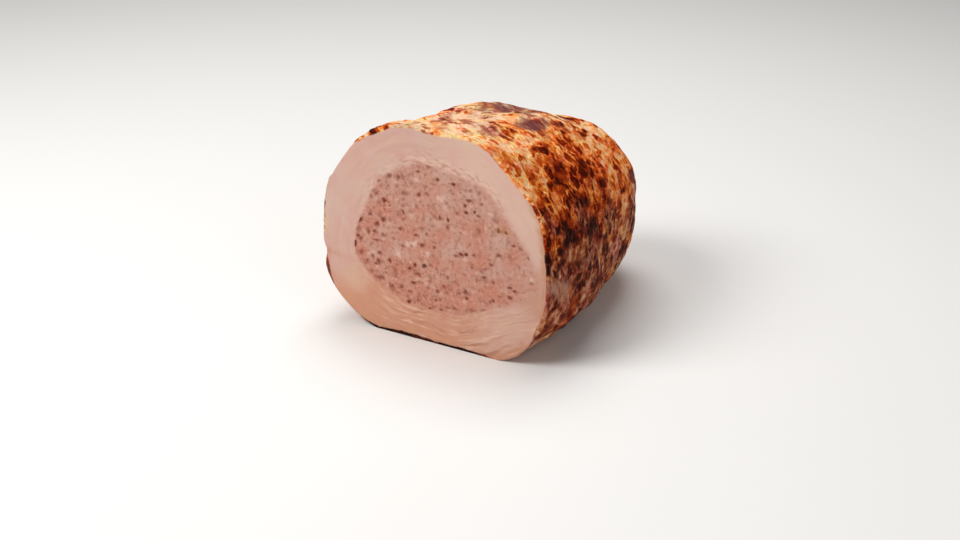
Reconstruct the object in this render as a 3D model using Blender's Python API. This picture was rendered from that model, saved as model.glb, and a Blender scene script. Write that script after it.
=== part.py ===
"""Half of a roasted, stuffed turkey breast roll, lying on its side with the cut end facing -Y.

A ring of pale breast meat in a browned skin goes round a core of fine stuffing. The core runs
from the cut through the roll and stops one wall short of the round end. The roll has sagged
under its own weight, so it rests on a flat stretch of its underside.

Units are metres, +Z is up, and the origin is on the ground below the middle of the roll.
"""
import bmesh
import bpy
import numpy as np
from math import pi, radians

# The whole half roll.
ROLL_LENGTH = 0.152
END_WALL = 0.022
TAPER = 0.157
END_FULLNESS = 2.33
END_BLUNTNESS = 3.7
SIDEWAYS_BEND = 0.020
END_DROP = 0.124

# The outlines at the cut. Each has a middle (x, z) and radii at even angles from +X towards +Z.
CUT_MIDDLE = (0.0, 0.061)
CUT_RADII_MM = (70.4, 70.6, 67.4, 65.5, 61.3, 64.4, 65.2, 67.1,
                69.5, 75.0, 74.2, 70.0, 68.0, 71.0, 76.3, 74.2)
STUFFING_MIDDLE = (0.004, 0.062)
STUFFING_RADII_MM = (57.0, 47.9, 45.6, 41.7, 41.2, 42.8, 44.5, 45.5,
                     49.9, 55.2, 49.6, 45.4, 41.6, 43.7, 46.7, 58.2)
RIM_ROUNDING = 0.001

# Swells and hollows of the skin: angle, share of the length, spread in each, height.
SWELLS = (
    (122, 0.06, 22, 0.10, 0.0015),
    (116, 0.24, 22, 0.12, -0.0040),
    (100, 0.45, 26, 0.14, 0.0025),
    (70, 0.64, 30, 0.10, -0.0015),
    (50, 0.78, 30, 0.12, 0.0025),
    (5, 0.80, 28, 0.15, -0.0010),
    (335, 0.20, 22, 0.20, 0.0035),
    (350, 0.50, 25, 0.20, -0.0015),
    (185, 0.45, 40, 0.30, 0.0060),
)
# The fold where the two edges of the breast meet, low on the left side of the cut.
FOLD = (197, 0.0, 4, 0.22, -0.0024)

# Low wrinkles all over the skin, as waves round and along the roll.
WRINKLE_SEED = 11
WRINKLE_COUNT = 14
WRINKLE_HEIGHT = 0.00022
MOST_WAVES_ROUND = 11
MOST_WAVES_ALONG = 9

# The stuffing's own bed, and how finely the skins are divided.
FITTING_GAP = 0.0004
CUTTER_OVERHANG = 0.006
SKIN_DIVISIONS = (104, 32)
STUFFING_DIVISIONS = (48, 14)

SKIN_COLOUR = (0.52, 0.20, 0.06)
MEAT_COLOUR = (0.70, 0.44, 0.35)
STUFFING_COLOUR = (0.52, 0.27, 0.21)


def clear_scene():
    for thing in list(bpy.data.objects):
        bpy.data.objects.remove(thing, do_unlink=True)


def new_collection(name):
    collection = bpy.data.collections.new(name)
    bpy.context.scene.collection.children.link(collection)
    return collection


def food_material(name, colour, roughness):
    material = bpy.data.materials.new(name)
    material.use_nodes = True
    shader = material.node_tree.nodes["Principled BSDF"]
    shader.inputs["Base Color"].default_value = (*colour, 1.0)
    shader.inputs["Roughness"].default_value = roughness
    return material


def smooth_outline(radii_mm, angles):
    """Radius at each angle: the closed curve through evenly spaced radii, as a sum of waves."""
    waves = np.fft.rfft(radii_mm) / len(radii_mm)
    weights = np.full(len(waves), 2.0)
    weights[[0, -1]] = 1.0
    turns = np.outer(np.arange(len(waves)), angles)
    return ((weights * waves)[:, None] * np.exp(1j * turns)).real.sum(axis=0) / 1000


def taper(share):
    """The slow loss of size along the roll, which its middle line follows down."""
    return 1 - TAPER * share ** 2


def round_end(share):
    """Size as the blunt end turns in: 1 along most of the roll, 0 at share 1."""
    return np.maximum(1 - share ** END_FULLNESS, 0) ** (1 / END_BLUNTNESS)


def stations(count):
    """Shares of the length for the rings, closer together as the end turns in."""
    sweep = np.linspace(0, pi / 2, count + 1)[1:-1]
    return np.sin(sweep) ** (2 / END_FULLNESS)


def bump(angles, shares, angle, share, angle_spread, share_spread, height):
    """A bell-shaped swell round one spot of the skin."""
    turn = (angles - radians(angle) + pi) % (2 * pi) - pi
    across = np.exp(-(turn / radians(angle_spread)) ** 2)
    along = np.exp(-((shares - share) / share_spread) ** 2)
    return height * across * along


def skin_relief(angles, shares):
    """Height of the skin over its plain form: swells, the fold, and low wrinkles."""
    relief = sum(bump(angles, shares, *swell) for swell in SWELLS + (FOLD,))
    draw = np.random.default_rng(WRINKLE_SEED)
    for _ in range(WRINKLE_COUNT):
        waves_round = draw.integers(2, MOST_WAVES_ROUND)
        waves_along = draw.uniform(1, MOST_WAVES_ALONG)
        start = draw.uniform(0, 2 * pi)
        waves = np.sin(waves_round * angles + waves_along * pi * shares + start)
        relief = relief + WRINKLE_HEIGHT * waves
    return relief


def ring_points(angles, shares, length, radii, middle):
    """Points of a stack of rings: the outline, made smaller along `length` and laid on the ground."""
    along = shares * length
    closing = round_end(shares)
    size = taper(shares) * closing
    height = middle[1] * taper(shares) * (1 - END_DROP * (1 - closing))
    x = middle[0] + SIDEWAYS_BEND * along / ROLL_LENGTH + size * radii * np.cos(angles)
    z = height + size * radii * np.sin(angles)
    return np.stack([x, along + 0 * x, np.maximum(z, 0)], axis=-1)


def meat_rings():
    """Rings of the outer skin, from the rounded rim of the cut to the middle of the round end."""
    angles = np.linspace(0, 2 * pi, SKIN_DIVISIONS[0], endpoint=False)
    shares = stations(SKIN_DIVISIONS[1])
    rim_turn = np.radians([0, 45, 90])
    rim_share = RIM_ROUNDING * (1 - np.cos(rim_turn)) / ROLL_LENGTH
    rim_inset = RIM_ROUNDING * (1 - np.sin(rim_turn))
    shares = np.concatenate([rim_share, shares])[:, None]
    inset = np.concatenate([rim_inset, np.zeros(len(shares) - len(rim_inset))])[:, None]
    radii = smooth_outline(CUT_RADII_MM, angles) + skin_relief(angles, shares) - inset
    rings = ring_points(angles, shares, ROLL_LENGTH, radii, CUT_MIDDLE)
    end = ring_points(0.0, 1.0, ROLL_LENGTH, 0.0, CUT_MIDDLE)
    return rings, end


def stuffing_rings(grown, overhang):
    """Rings of the stuffing, or of its bed: `grown` larger, and carried on out of the cut."""
    angles = np.linspace(0, 2 * pi, STUFFING_DIVISIONS[0], endpoint=False)
    shares = np.concatenate([[0.0], stations(STUFFING_DIVISIONS[1])])[:, None]
    length = ROLL_LENGTH - END_WALL + grown
    radii = smooth_outline(STUFFING_RADII_MM, angles) + grown
    rings = ring_points(angles, shares, length, radii, STUFFING_MIDDLE)
    if overhang:
        rings = np.concatenate([rings[:1] - (0, overhang, 0), rings])
    end = ring_points(0.0, 1.0, length, 0.0, STUFFING_MIDDLE)
    return rings, end


def loft(name, rings, end, shift):
    """A closed mesh: quads between rings, one flat face over the first, a fan to the end point."""
    mesh = bpy.data.meshes.new(name)
    form = bmesh.new()
    rows = [[form.verts.new(point - shift) for point in ring] for ring in rings]
    tip = form.verts.new(end - shift)
    count = len(rows[0])
    form.faces.new(rows[0])
    for near, far in zip(rows, rows[1:]):
        for i in range(count):
            j = (i + 1) % count
            form.faces.new([near[i], far[i], far[j], near[j]])
    for i in range(count):
        form.faces.new([rows[-1][i], tip, rows[-1][(i + 1) % count]])
    bmesh.ops.recalc_face_normals(form, faces=form.faces)
    form.to_mesh(mesh)
    form.free()
    mesh.shade_smooth()
    mesh.set_sharp_from_angle(angle=radians(50))
    return bpy.data.objects.new(name, mesh)


def make_meat(collection, shift):
    """The breast: browned skin outside, pale meat where it is cut."""
    rings, end = meat_rings()
    meat = loft("turkey_meat", rings, end, shift)
    meat.data.materials.append(food_material("browned_skin", SKIN_COLOUR, 0.45))
    meat.data.materials.append(food_material("breast_meat", MEAT_COLOUR, 0.5))
    cut_face = max(meat.data.polygons, key=lambda face: len(face.vertices))
    cut_face.material_index = 1
    collection.objects.link(meat)
    return meat


def make_stuffing(collection, shift):
    """The core of stuffing, cut flush with the meat."""
    rings, end = stuffing_rings(0.0, 0.0)
    stuffing = loft("stuffing", rings, end, shift)
    stuffing.data.materials.append(food_material("stuffing", STUFFING_COLOUR, 0.6))
    collection.objects.link(stuffing)


def cut_bed(meat, collection, shift):
    """Opens the meat for the stuffing, with a fine gap all round."""
    rings, end = stuffing_rings(FITTING_GAP, CUTTER_OVERHANG)
    cutter = loft("stuffing_bed", rings, end, shift)
    cutter.hide_render = True
    cutter.display_type = "WIRE"
    collection.objects.link(cutter)
    opening = meat.modifiers.new("bed", "BOOLEAN")
    opening.operation = "DIFFERENCE"
    opening.object = cutter


def centre_on_ground():
    """The shift that brings the ground point below the middle of the roll to the origin."""
    rings, end = meat_rings()
    points = np.vstack([rings.reshape(-1, 3), end[None]])
    middle = (points.min(axis=0) + points.max(axis=0)) / 2
    middle[2] = 0.0
    return middle


clear_scene()
roll = new_collection("turkey_breast_roll")
cutters = new_collection("cutters")
to_middle = centre_on_ground()
breast = make_meat(roll, to_middle)
make_stuffing(roll, to_middle)
cut_bed(breast, cutters, to_middle)
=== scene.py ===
"""The looks of half a roasted, stuffed turkey breast roll: browned skin, pale meat, speckled core."""
import bpy
import numpy as np
from math import pi, radians
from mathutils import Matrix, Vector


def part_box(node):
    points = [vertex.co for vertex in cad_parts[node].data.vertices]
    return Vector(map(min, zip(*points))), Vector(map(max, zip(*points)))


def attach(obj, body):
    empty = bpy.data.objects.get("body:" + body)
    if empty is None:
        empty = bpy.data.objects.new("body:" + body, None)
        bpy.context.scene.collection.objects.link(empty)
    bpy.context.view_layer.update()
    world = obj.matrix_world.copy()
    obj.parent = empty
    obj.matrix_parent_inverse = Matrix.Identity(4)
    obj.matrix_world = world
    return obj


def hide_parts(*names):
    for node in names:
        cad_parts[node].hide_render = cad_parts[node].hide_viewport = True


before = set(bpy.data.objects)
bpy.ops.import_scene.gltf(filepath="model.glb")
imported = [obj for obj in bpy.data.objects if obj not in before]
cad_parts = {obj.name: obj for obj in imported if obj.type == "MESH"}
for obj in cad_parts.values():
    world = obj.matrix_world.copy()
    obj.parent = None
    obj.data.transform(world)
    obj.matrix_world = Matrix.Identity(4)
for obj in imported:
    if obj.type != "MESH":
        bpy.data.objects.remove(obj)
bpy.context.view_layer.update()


# --- The breast -------------------------------------------------------------------------------
# A boned turkey breast, rolled round its stuffing and roasted whole, then cut across. Its outer
# skin, the rim of the cut, the cut ring of meat and the bed of the stuffing are one closed form.

MM = 0.001
meat_low, meat_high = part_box("turkey_meat")
ROLL_LENGTH = meat_high[1] - meat_low[1]
CUT_PLANE = meat_low[1]
END_WALL = 0.022
TAPER = 0.157
END_FULLNESS = 2.33
END_BLUNTNESS = 3.7
SIDEWAYS_BEND = 0.020
END_DROP = 0.124
RIM_ROUNDING = 0.001

# The outlines at the cut: a middle (x, z), and radii at even angles from +X towards +Z.
CUT_MIDDLE = (0.0, 0.061)
CUT_RADII_MM = (70.4, 70.6, 67.4, 65.5, 61.3, 64.4, 65.2, 67.1,
                69.5, 75.0, 74.2, 70.0, 68.0, 71.0, 76.3, 74.2)
STUFFING_MIDDLE = (0.004, 0.062)
STUFFING_RADII_MM = (57.0, 47.9, 45.6, 41.7, 41.2, 42.8, 44.5, 45.5,
                     49.9, 55.2, 49.6, 45.4, 41.6, 43.7, 46.7, 58.2)

# Swells and hollows of the skin: angle, share of the length, spread in each, height.
SWELLS = (
    (122, 0.06, 22, 0.10, 0.0015),
    (116, 0.24, 22, 0.12, -0.0040),
    (100, 0.45, 26, 0.14, 0.0025),
    (70, 0.64, 30, 0.10, -0.0015),
    (50, 0.78, 30, 0.12, 0.0025),
    (5, 0.80, 28, 0.15, -0.0010),
    (335, 0.20, 22, 0.20, 0.0035),
    (350, 0.50, 25, 0.20, -0.0015),
    (185, 0.45, 40, 0.30, 0.0060),
)
# The fold where the two edges of the breast meet, low on the left side of the cut.
FOLD = (197, 0.0, 4, 0.22, -0.0024)
WRINKLE_SEED = 11
WRINKLE_COUNT = 14
WRINKLE_HEIGHT = 0.00022
MOST_WAVES_ROUND = 11
MOST_WAVES_ALONG = 9

POINTS_ROUND = 360
SKIN_ROWS = 234
RIM_ROWS = 5
CUT_ROWS = 24
BED_ROWS = 8
SWEEP_STEPS = 4001
LATTICE_NODES = 32
SHARPEST_BEND = radians(50)


def smooth_outline(radii_mm, turns):
    """Radius at each angle: the closed curve through evenly spaced radii, as a sum of waves."""
    waves = np.fft.rfft(radii_mm) / len(radii_mm)
    weights = np.full(len(waves), 2.0)
    weights[[0, -1]] = 1.0
    phases = np.multiply.outer(turns, np.arange(len(waves)))
    return (weights * waves * np.exp(1j * phases)).real.sum(axis=-1) * MM


def taper(share):
    """The slow loss of size along the roll: 1 at the cut, less by the square of the share."""
    return 1 - TAPER * share ** 2


def round_end(share):
    """Size as the blunt end turns in: a root of what a power of the share leaves of 1."""
    return np.maximum(1 - share ** END_FULLNESS, 0) ** (1 / END_BLUNTNESS)


def bump(turns, shares, angle, share, angle_spread, share_spread, height):
    """A bell-shaped swell: height times a bell of the turn times a bell of the share along."""
    turned = (turns - radians(angle) + pi) % (2 * pi) - pi
    across = np.exp(-(turned / radians(angle_spread)) ** 2)
    along = np.exp(-((shares - share) / share_spread) ** 2)
    return height * across * along


def spots(places, turns, shares):
    """The sum of bell-shaped spots, each given in the order of a bump's last values."""
    return sum(bump(turns, shares, *place) for place in places)


def skin_relief(turns, shares):
    """Height of the skin over its plain form: the swells, the fold, and a sum of low waves."""
    relief = spots(SWELLS + (FOLD,), turns, shares)
    draw = np.random.default_rng(WRINKLE_SEED)
    for _ in range(WRINKLE_COUNT):
        waves_round = draw.integers(2, MOST_WAVES_ROUND)
        waves_along = draw.uniform(1, MOST_WAVES_ALONG)
        start = draw.uniform(0, 2 * pi)
        waves = np.sin(waves_round * turns + waves_along * pi * shares + start)
        relief = relief + WRINKLE_HEIGHT * waves
    return relief


def ring_points(turns, shares, length, radii, middle):
    """The outline about its middle, made smaller along the length and laid on the ground."""
    along = shares * length
    closing = round_end(shares)
    size = taper(shares) * closing
    height = middle[1] * taper(shares) * (1 - END_DROP * (1 - closing))
    x = middle[0] + SIDEWAYS_BEND * along / ROLL_LENGTH + size * radii * np.cos(turns)
    z = height + size * radii * np.sin(turns)
    return np.stack([x, along + 0 * x, np.maximum(z, 0)], axis=-1)


def even_shares(count, girth_radius, length):
    """Shares from 0 to 1 whose rings lie evenly apart along the skin, from its arc length."""
    sweep = np.linspace(0, pi / 2, SWEEP_STEPS)
    share = np.sin(sweep) ** (2 / END_FULLNESS)
    radius = girth_radius * taper(share) * round_end(share)
    steps = np.hypot(np.diff(share * length), np.diff(radius))
    arc = np.concatenate([[0], np.cumsum(steps)])
    return np.interp(np.linspace(0, arc[-1], count + 2)[1:-1], arc, share)


def mottle(points, size, seed):
    """Smooth random values from 0 to 1: a lattice of random numbers, blended between its nodes."""
    table = np.random.default_rng(seed).random((LATTICE_NODES,) * 3)
    cell = points / size
    corner = np.floor(cell).astype(int)
    part = cell - corner
    part = part * part * (3 - 2 * part)
    total = 0.0
    for step in np.ndindex(2, 2, 2):
        weight = np.where(step, part, 1 - part).prod(axis=-1)
        at = (corner + step) % LATTICE_NODES
        total = total + weight * table[at[..., 0], at[..., 1], at[..., 2]]
    return total


def closed_mesh(name, rows, first_tip, last_tip):
    """Mesh over a stack of closed rows: quads from row to row, and a fan to a tip at each end."""
    row_count, row_length = rows.shape[:2]
    here = np.arange(row_count * row_length).reshape(row_count, row_length)
    beside = np.roll(here, -1, axis=1)
    quads = np.stack([here[:-1], beside[:-1], beside[1:], here[1:]], axis=-1).reshape(-1, 4)
    tips = np.full((2, row_length), here.size) + [[0], [1]]
    first_fan = np.stack([beside[0], here[0], tips[0]], axis=-1)
    last_fan = np.stack([here[-1], beside[-1], tips[1]], axis=-1)
    points = np.vstack([rows.reshape(-1, 3), first_tip, last_tip])
    faces = quads.tolist() + first_fan.tolist() + last_fan.tolist()
    return shaded_mesh(name, points, faces)


def shaded_mesh(name, points, faces):
    """A mesh with smooth shading, but for its sharpest bends."""
    mesh = bpy.data.meshes.new(name)
    mesh.from_pydata(points.tolist(), [], faces)
    mesh.shade_smooth()
    mesh.set_sharp_from_angle(angle=SHARPEST_BEND)
    return mesh


def shown(mesh):
    """Puts a mesh in the scene as an object of its name."""
    made = bpy.data.objects.new(mesh.name, mesh)
    bpy.context.scene.collection.objects.link(made)
    return made


def store(mesh, name, values, rest):
    """Keeps a number or vector for each point of a mesh; points past the given ones take `rest`."""
    values = np.asarray(values, dtype=np.float32)
    is_vector = values.ndim == 3
    given = values.reshape(-1, 3) if is_vector else values.ravel()
    others = len(mesh.vertices) - len(given)
    filler = np.broadcast_to(np.float32(rest), (others, 3) if is_vector else (others,))
    layer = mesh.attributes.new(name, "FLOAT_VECTOR" if is_vector else "FLOAT", "POINT")
    everywhere = np.concatenate([given, filler]).ravel()
    layer.data.foreach_set("vector" if is_vector else "value", everywhere)


# The skin, with its fine crags: ridges and furrows that run round the roll, over a finer grain.
SKIN_GIRTH = 0.068
CRAG_SIZE = 0.0065
CRAG_HEIGHT = 0.0015
CRAG_SEED = 1
GRAIN_SIZE = 0.0024
GRAIN_HEIGHT = 0.00055
GRAIN_SEED = 2
STREAK_SQUEEZE = (1.0, 2.3, 1.0)

angles = np.linspace(0, 2 * pi, POINTS_ROUND, endpoint=False)
cut_radii = smooth_outline(CUT_RADII_MM, angles)
skin_shares = even_shares(SKIN_ROWS, SKIN_GIRTH, ROLL_LENGTH)[::-1, None]
plain_radii = cut_radii + skin_relief(angles, skin_shares)
plain_skin = ring_points(angles, skin_shares, ROLL_LENGTH, plain_radii, CUT_MIDDLE)
squeezed = plain_skin * STREAK_SQUEEZE
crags = CRAG_HEIGHT * (mottle(squeezed, CRAG_SIZE, CRAG_SEED) - 0.5)
crags += GRAIN_HEIGHT * (mottle(squeezed, GRAIN_SIZE, GRAIN_SEED) - 0.5)
skin = ring_points(angles, skin_shares, ROLL_LENGTH, plain_radii + crags, CUT_MIDDLE)
skin_tip = ring_points(0.0, 1.0, ROLL_LENGTH, 0.0, CUT_MIDDLE)

# The rim is a quarter round from the skin to the cut.
rim_turn = np.linspace(pi / 2, 0, RIM_ROWS)[:, None]
rim_shares = RIM_ROUNDING * (1 - np.cos(rim_turn)) / ROLL_LENGTH
rim_radii = cut_radii + skin_relief(angles, rim_shares) - RIM_ROUNDING * (1 - np.sin(rim_turn))
rim = ring_points(angles, rim_shares, ROLL_LENGTH, rim_radii, CUT_MIDDLE)

# The cut ring runs from the rim's edge in to the stuffing, with rows closer together at the rim.
ROWS_TO_RIM = 1.5
inward = np.linspace(0, 1, CUT_ROWS + 1)[1:, None] ** ROWS_TO_RIM
bed_radii = smooth_outline(STUFFING_RADII_MM, angles)
stuffing_edge = ring_points(angles, np.zeros((1, 1)), ROLL_LENGTH, bed_radii, STUFFING_MIDDLE)
cut_ring = rim[-1:] + inward[..., None] * (stuffing_edge - rim[-1:])
ring_width = np.linalg.norm(stuffing_edge - rim[-1:], axis=-1) / MM
ring_distance = (1 - inward) * ring_width

# The knife leaves the meat's layers a little uneven, level again at the rim and at the stuffing.
FIBRE_ROUND = 8.0
LAYER_SIZE = 2.2
LAYER_HEIGHT = 0.0006
LAYER_SEED = 51
PATCH_SIZE = 0.011
PATCH_SEED = 52
LEVEL_EDGE = 2.0


def fibre_place(turns, distance):
    """Place along the fibres: a circle round the roll, and the distance from the stuffing."""
    circle = [FIBRE_ROUND * np.cos(turns), FIBRE_ROUND * np.sin(turns)]
    return np.stack(np.broadcast_arrays(*circle, distance), axis=-1)


layer_relief = mottle(fibre_place(angles, ring_distance), LAYER_SIZE, LAYER_SEED) - 0.5
patches = mottle(cut_ring, PATCH_SIZE, PATCH_SEED)
edge_distance = np.minimum(inward, 1 - inward) * ring_width
settled = np.clip(edge_distance / LEVEL_EDGE, 0, 1)
cut_ring[..., 1] += LAYER_HEIGHT * layer_relief * patches * settled

# The bed goes in behind the cut, just clear of the stuffing, to one wall from the round end.
BED_GIRTH = 0.048
bed_length = ROLL_LENGTH - END_WALL
bed_shares = even_shares(BED_ROWS, BED_GIRTH, bed_length)[:, None]
bed = ring_points(angles, bed_shares, bed_length, bed_radii, STUFFING_MIDDLE)
bed_tip = ring_points(0.0, 1.0, bed_length, 0.0, STUFFING_MIDDLE)

# So far the cut's middle is above the origin. The frame has the middle of the roll's box there.
TO_PLACE = np.array([-(skin[..., 0].min() + skin[..., 0].max()) / 2, CUT_PLANE, 0.0])
meat_rows = np.concatenate([skin, rim, cut_ring, bed])
meat_mesh = closed_mesh("turkey_roast", meat_rows + TO_PLACE, skin_tip + TO_PLACE, bed_tip + TO_PLACE)
meat = shown(meat_mesh)

# What each point of the form is: how far in from the skin's edge at the cut (below 0 on the skin),
# how far from the stuffing, and where along the fibres, which lie round the roll in layers.
FAR_FROM_STUFFING = 40.0
SKIN_LINE_MM = 0.5
# Where more of the skin shows at the cut, or less, and where its bottom edge is widened as painted
# contact shadow: angle, spread, millimetres.
SKIN_AND_SHADOW_LINES = (
    (121, 6, 1.2), (158, 20, -2.2), (176, 9, 0.6), (195, 5, -2.0), (204, 5, 1.7),
    # The lines at 253 and 284 degrees widen the dark bottom edge: browned skin and painted contact
    # shadow.
    (222, 9, -2.4), (253, 13, 2.1), (284, 14, 1.1), (313, 9, -3.0),
)
# Where the stuffing comes nearer the skin than its outline: angle, spread, millimetres.
STUFFING_REACHES = ((347, 9, 7.5),)
# Where the meat at the skin took a tan from the roasting: angle, spread, strength.
TANNED_EDGES = ((6, 28, 0.8), (345, 10, 0.3), (308, 14, 1.1), (203, 9, 0.7))
TANNED_DEPTH_MM = 4.5
RING_ROWS = slice(-BED_ROWS - CUT_ROWS, -BED_ROWS)


def round_cut(places):
    """The sum of bells round the cut: strength times a bell of the turn."""
    return sum(bump(angles, 0.0, angle, 0.0, spread, 1.0, most) for angle, spread, most in places)


skin_and_shadow_line = SKIN_LINE_MM + round_cut(SKIN_AND_SHADOW_LINES)
inner_depth = np.concatenate([inward * ring_width, FAR_FROM_STUFFING + 0 * bed[..., 1]])
skin_depth = np.concatenate([-skin[..., 1] / MM, -rim[..., 1] / MM, inner_depth]) - skin_and_shadow_line
store(meat_mesh, "skin_depth", skin_depth, 0.0)

to_stuffing = np.full(skin_depth.shape, FAR_FROM_STUFFING)
to_stuffing[RING_ROWS] = ring_distance - (1 - inward) * round_cut(STUFFING_REACHES)
to_stuffing[-BED_ROWS:] = 0.0
store(meat_mesh, "to_stuffing", to_stuffing, 0.0)
store(meat_mesh, "fibre", fibre_place(angles, to_stuffing), 0.0)

from_skin = np.maximum(skin_depth + skin_and_shadow_line, 0)
tanned_depth = np.exp(-(from_skin / TANNED_DEPTH_MM) ** 2)
store(meat_mesh, "tanned", tanned_depth * round_cut(TANNED_EDGES), 0.0)

# The pattern of the skin is drawn out towards the round end: distance along is squeezed there.
DRAWN_OUT = 0.13
skin_place = meat_rows.copy()
skin_place[..., 1] = DRAWN_OUT * np.tanh(skin_place[..., 1] / DRAWN_OUT)
store(meat_mesh, "skin_place", skin_place, skin_place[0, 0])

# The seam where the breast's two edges meet runs in from the fold and fades: (x, z) of its ends.
SEAM = ((-0.0715, 0.0415), (-0.050, 0.0385))
SEAM_WIDTH = 0.0017
SEAM_FADE = 0.7

seam_start, seam_end = np.array(SEAM)
seam_line = seam_end - seam_start
from_start = cut_ring[..., [0, 2]] - seam_start
along_seam = np.clip(from_start @ seam_line / (seam_line @ seam_line), 0, 1)
off_seam = np.linalg.norm(from_start - along_seam[..., None] * seam_line, axis=-1)
crease = np.zeros(skin_depth.shape)
crease[RING_ROWS] = np.exp(-(off_seam / SEAM_WIDTH) ** 2) * (1 - SEAM_FADE * along_seam)
store(meat_mesh, "crease", crease, 0.0)

# Browning of the skin, from 0 for pale gold to 1 for black. Zones and spots are both given by
# angle, millimetres behind the cut, spread in each, and strength. The zones are broad.
BROWNING = 0.36
BROAD_ZONES = (
    (8, 22, 24, 52, 0.30), (12, 75, 26, 40, 0.12), (34, 50, 11, 28, 0.26), (88, 18, 32, 40, -0.15),
    (45, 98, 26, 22, -0.16), (330, 60, 28, 90, 0.20), (200, 70, 50, 60, 0.24),
    (150, 100, 30, 40, 0.12), (270, 70, 35, 90, 0.22), (190, 120, 80, 70, 0.10),
    (60, 150, 60, 22, 0.08), (0, 150, 400, 24, 0.12),
)
# Scorched spots. Those at 0 mm from 243 to 304 degrees darken the cut's bottom edge: browned skin and
# painted contact shadow.
SCORCHES_AND_CONTACT_SHADOW = (
    (64.5, 50.5, 5, 9.5, 1.2), (90, 72, 10, 9, 0.6), (71, 97, 4, 6, 2.0), (51, 84, 1.5, 3.5, 1.2),
    (54.5, 91, 1.9, 4.5, 2.2), (56, 69, 4.5, 7, 0.9), (48, 56, 3, 6, 0.6), (49, 34, 3, 8, 0.9),
    (53, 27, 2.5, 4, 0.6), (38, 37, 4, 6, 0.8), (33, 24, 3, 8, 0.6), (31, 31, 4, 5, 0.5),
    (23, 66, 3, 6, 1.7), (18, 17, 6, 8, 0.7), (18, 42, 5, 8, 0.6), (8, 44, 4, 6, 0.6),
    (1, 41, 4, 5, 0.8), (6, 20, 6, 9, 0.6), (8, 84, 3, 7, 0.8), (20, 118, 4, 9, 1.9),
    (340, 97, 4, 11, 1.3), (353, 78, 4, 8, 0.8), (340, 6, 4, 7, 0.7), (327, 55, 5, 8, 0.5),
    (112, 24, 3, 4, 0.4), (104, 46, 3, 5, 0.4), (36, 66, 5, 9, 0.5), (30, 58, 4, 8, 0.5),
    (10, 28, 6, 7, 0.6), (44, 8, 3, 3, 0.5), (38, 13, 3, 4, 0.5), (70, 24, 4, 4, 0.7),
    (13, 55, 4, 7, 0.6), (357, 62, 4, 9, 0.6), (344, 28, 4, 10, 0.6), (332, 38, 5, 15, 0.5),
    (8, 100, 3, 6, 0.8), (32, 96, 2.5, 4, 0.7), (43, 86, 2.5, 5, 0.7), (38, 106, 2.5, 5, 0.7),
    (81, 34, 5, 7, 0.3), (24, 84, 3, 6, 0.6), (0, 110, 3, 6, 0.8), (76, 10, 4, 3, 0.6),
    (60, 108, 2.5, 5, 0.8), (49, 114, 3, 5, 0.7), (121, 0, 6, 4, 1.0), (206, 2, 5, 6, 1.0),
    # Along the cut's bottom edge: browned skin and painted contact shadow.
    (243, 0, 9, 4, 1.8), (260, 0, 14, 4, 3.0), (285, 0, 16, 4, 2.6), (304, 0, 5, 4, 1.6),
    (172, 0, 9, 4, 0.9), (250, 0, 10, 4, 1.4),
)
# Skin that is ruddier, purple, or moist and dull, and spots of pale skin, with painted sheen,
# glints and contact shadow among them.
RUDDY_ZONES = (
    (42, 80, 26, 75, 1.0), (0, 150, 400, 30, 0.6), (342, 40, 22, 80, 0.45), (26, 90, 10, 22, 0.7),
    (60, 97, 12, 18, -0.7),
)
# Purple spots. The ones on the ridge at the top, near 90 degrees, are painted sheen.
PURPLES_AND_SHEEN = (
    (64.5, 50.5, 6.5, 12, 1.4), (92, 66, 15, 16, 1.2), (90, 84, 7, 8, 0.6), (20, 118, 5, 8, 0.9),
    (206, 2, 7, 8, 0.9),
)
DULL_ZONES = (
    (90, 28, 28, 80, 0.80), (82, 85, 24, 30, 0.50), (42, 65, 16, 45, -0.30),
    (348, 55, 24, 120, 1.10), (310, 60, 30, 110, 0.60), (265, 70, 35, 90, 0.60),
    # The zone at 258 degrees on the cut's bottom edge is painted contact shadow.
    (200, 70, 45, 80, 0.40), (182, 0, 22, 10, 1.00), (0, 30, 12, 20, 0.45), (258, 0, 30, 10, 1.00),
)
# Pale spots low on the right beside the cut: pale moist skin, partly painted glints.
PALE_SPOTS_AND_GLINTS = (
    (350, 3, 4, 9, 1.0), (345, 16, 5, 12, 0.7), (322, 6, 5, 10, 0.6), (343, 38, 3, 8, 0.6),
    (354, 34, 3, 6, 0.5), (313, 10, 7, 22, 1.1),
)
# Scorched spots on the sides that the photograph doesn't show: the range of each of their values.
HIDDEN_SEED = 5
HIDDEN_SCORCHES = 60
HIDDEN_RANGES = ((118, 322), (4, 148), (2.5, 6.0), (3.5, 9.0), (0.4, 1.0))

hidden_draw = np.random.default_rng(HIDDEN_SEED)
hidden = np.column_stack([hidden_draw.uniform(*limits, HIDDEN_SCORCHES) for limits in HIDDEN_RANGES])
behind_cut = np.concatenate([skin[..., 1], rim[..., 1], np.zeros(inner_depth.shape)]) / MM
browning = BROWNING + spots(BROAD_ZONES, angles, behind_cut)
store(meat_mesh, "browning", browning, BROWNING)
scorch_and_contact_shadow = spots(SCORCHES_AND_CONTACT_SHADOW, angles, behind_cut) + spots(hidden, angles, behind_cut)
store(meat_mesh, "scorch_and_contact_shadow", scorch_and_contact_shadow, 0.0)
casts = {"purple_and_sheen": PURPLES_AND_SHEEN, "pale": PALE_SPOTS_AND_GLINTS, "ruddy": RUDDY_ZONES}
for cast, places in casts.items():
    store(meat_mesh, cast, spots(places, angles, behind_cut), 0.0)
store(meat_mesh, "dull", spots(DULL_ZONES, angles, behind_cut), 0.5)
store(meat_mesh, "raised", crags / CRAG_HEIGHT, 0.0)


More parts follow.
